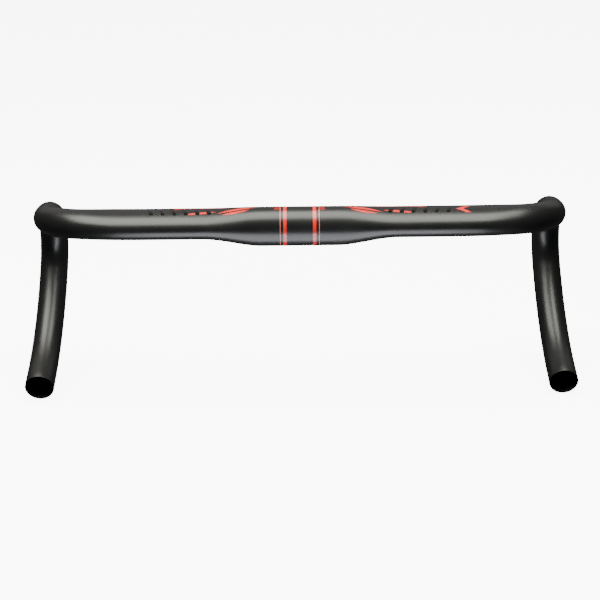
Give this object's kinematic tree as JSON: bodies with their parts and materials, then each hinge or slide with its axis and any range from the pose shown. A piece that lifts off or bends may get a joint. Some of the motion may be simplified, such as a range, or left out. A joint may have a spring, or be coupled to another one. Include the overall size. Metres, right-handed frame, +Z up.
{
  "type": "drop handlebar",
  "caption": "Compact drop handlebar with an oval top, a round centre for the stem clamp and two flared drops with open ends.",
  "frame": {"origin": "middle of the stem clamp's axis", "axes": "+X to the rider's right along the clamp's axis, +Y forward, +Z up, with the bar as it is ridden"},
  "size_m": [0.4554, 0.1174, 0.1581],
  "materials": {
    "charcoal_lacquer": "satin clear lacquer over carbon-fibre laminate",
    "bare_laminate": "bare carbon-fibre laminate",
    "adhesive": "cured epoxy adhesive",
    "red_print": "red printed film",
    "pale_red_print": "pale red printed film",
    "gloss_black_print": "gloss black printed film",
    "silver_print": "silver printed film"
  },
  "bodies": {
    "root": {"centre_section": "charcoal_lacquer", "left_drop": "charcoal_lacquer", "right_drop": "charcoal_lacquer", "left_joint_sleeve": "bare_laminate", "right_joint_sleeve": "bare_laminate", "left_bond_film": "adhesive", "right_bond_film": "adhesive", "left_clamp_band": "red_print", "right_clamp_band": "red_print", "left_pinstripe": "pale_red_print", "right_pinstripe": "pale_red_print", "left_angle_scale": "red_print", "right_angle_scale": "red_print", "centre_badge": "gloss_black_print", "badge_rim": "silver_print", "left_top_streaks": "red_print", "right_top_streaks": "red_print", "left_top_bars": "gloss_black_print", "right_top_bars": "gloss_black_print", "right_top_chevron": "red_print"}
  },
  "joints": []
}
